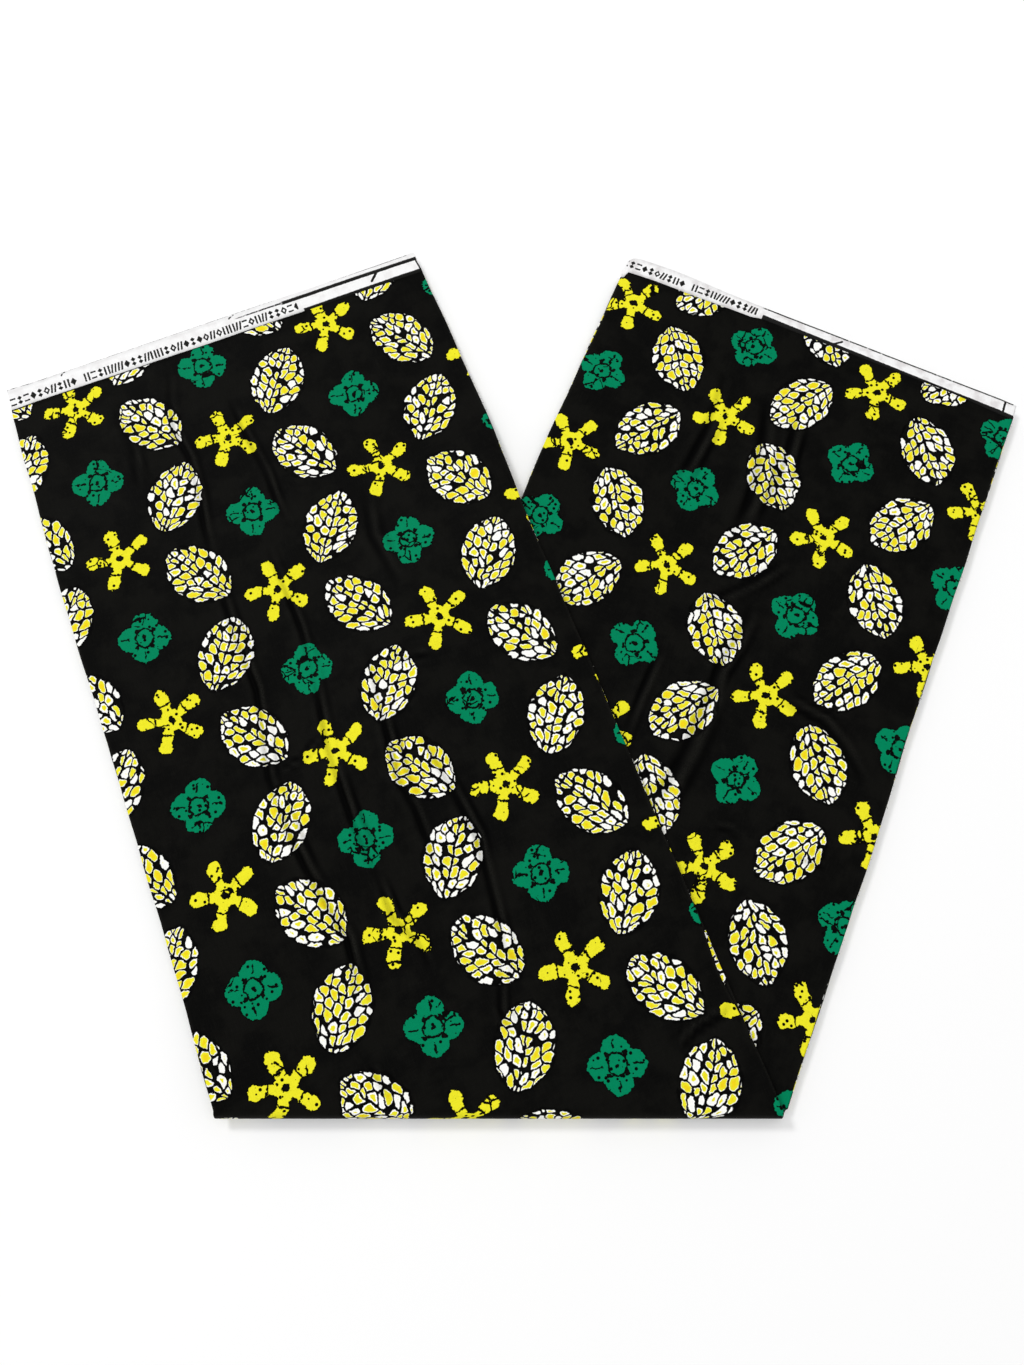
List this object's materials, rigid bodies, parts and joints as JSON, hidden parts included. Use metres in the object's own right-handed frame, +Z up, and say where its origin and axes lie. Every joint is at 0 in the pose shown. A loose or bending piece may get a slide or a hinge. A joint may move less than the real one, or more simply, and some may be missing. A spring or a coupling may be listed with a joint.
{
  "type": "folded length of printed cotton cloth",
  "caption": "Wax print cotton cloth, folded to and fro into a flat strip and turned into a V, lying flat with its white selvedges showing at both ends.",
  "frame": {"origin": "middle of the footprint, on the surface that the cloth lies on", "axes": "+X along the fold line at the bottom of the V, to the right; +Y from the fold line towards the open ends of the arms; +Z up"},
  "size_m": [0.7304, 0.6048, 0.0164],
  "materials": {
    "printed_cotton": "printed cotton with a faint wax sheen, near black ground with yellow, white and green figures",
    "printed_cotton_edges": "folded edges of the same cloth",
    "white_selvedge": "unprinted woven edge, matt white"
  },
  "bodies": {
    "root": {"right_arm_top_ply": "printed_cotton", "right_arm_inner_plies": "printed_cotton_edges", "right_arm_top_selvedge": "white_selvedge", "right_arm_lower_selvedges": "white_selvedge", "left_arm_top_ply": "printed_cotton", "left_arm_second_ply": "printed_cotton", "left_arm_inner_plies": "printed_cotton_edges", "left_arm_top_selvedge": "white_selvedge", "left_arm_lower_selvedges": "white_selvedge", "turn_outer_ply": "printed_cotton", "turn_inner_plies": "printed_cotton_edges"}
  },
  "joints": []
}
